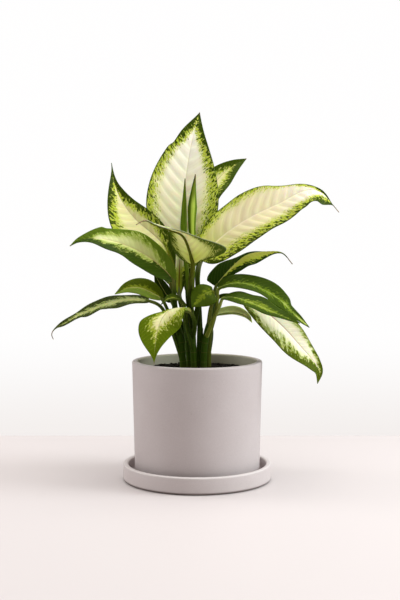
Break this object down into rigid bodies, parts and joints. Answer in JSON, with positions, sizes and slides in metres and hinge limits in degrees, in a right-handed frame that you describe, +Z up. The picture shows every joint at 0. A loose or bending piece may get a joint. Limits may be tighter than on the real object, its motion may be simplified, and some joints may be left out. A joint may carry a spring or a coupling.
{
  "type": "potted plant",
  "caption": "Potted dieffenbachia: cream leaves edged in green on a group of short canes, in soil in a round ceramic pot that stands on its saucer.",
  "frame": {"origin": "centre of the saucer's underside", "axes": "+Z up; -Y towards the front of the plant, where the picture was taken from; +X to its right"},
  "size_m": [0.3329, 0.2191, 0.4298],
  "materials": {
    "ceramic": "matt, warm grey",
    "soil": "moist, crumbly",
    "cane": "satin",
    "leaf": "satin, cream with a green edge",
    "new_leaf": "satin"
  },
  "bodies": {
    "root": {"saucer": "ceramic", "pot": "ceramic", "soil": "soil", "cane_left": "cane", "cane_back": "cane", "cane_centre": "cane", "cane_rear": "cane", "cane_front": "cane", "cane_right": "cane", "leaf_tall_centre": "leaf", "leaf_tall_left": "leaf", "leaf_behind_right": "leaf", "leaf_broad_right": "leaf", "leaf_front_high": "leaf", "leaf_arching_left": "leaf", "leaf_lower_left": "leaf", "leaf_drooping_left": "leaf", "leaf_front_low": "leaf", "leaf_small_left": "leaf", "leaf_small_centre": "leaf", "leaf_narrow_right": "leaf", "leaf_drooping_right": "leaf", "leaf_under_right": "leaf", "leaf_low_right": "leaf", "leaf_small_front": "leaf", "leaf_back_low": "leaf", "leaf_back_high": "leaf", "leaf_back_left": "leaf", "leaf_back_right": "leaf", "spear_left": "new_leaf", "spear_right": "new_leaf"}
  },
  "joints": []
}
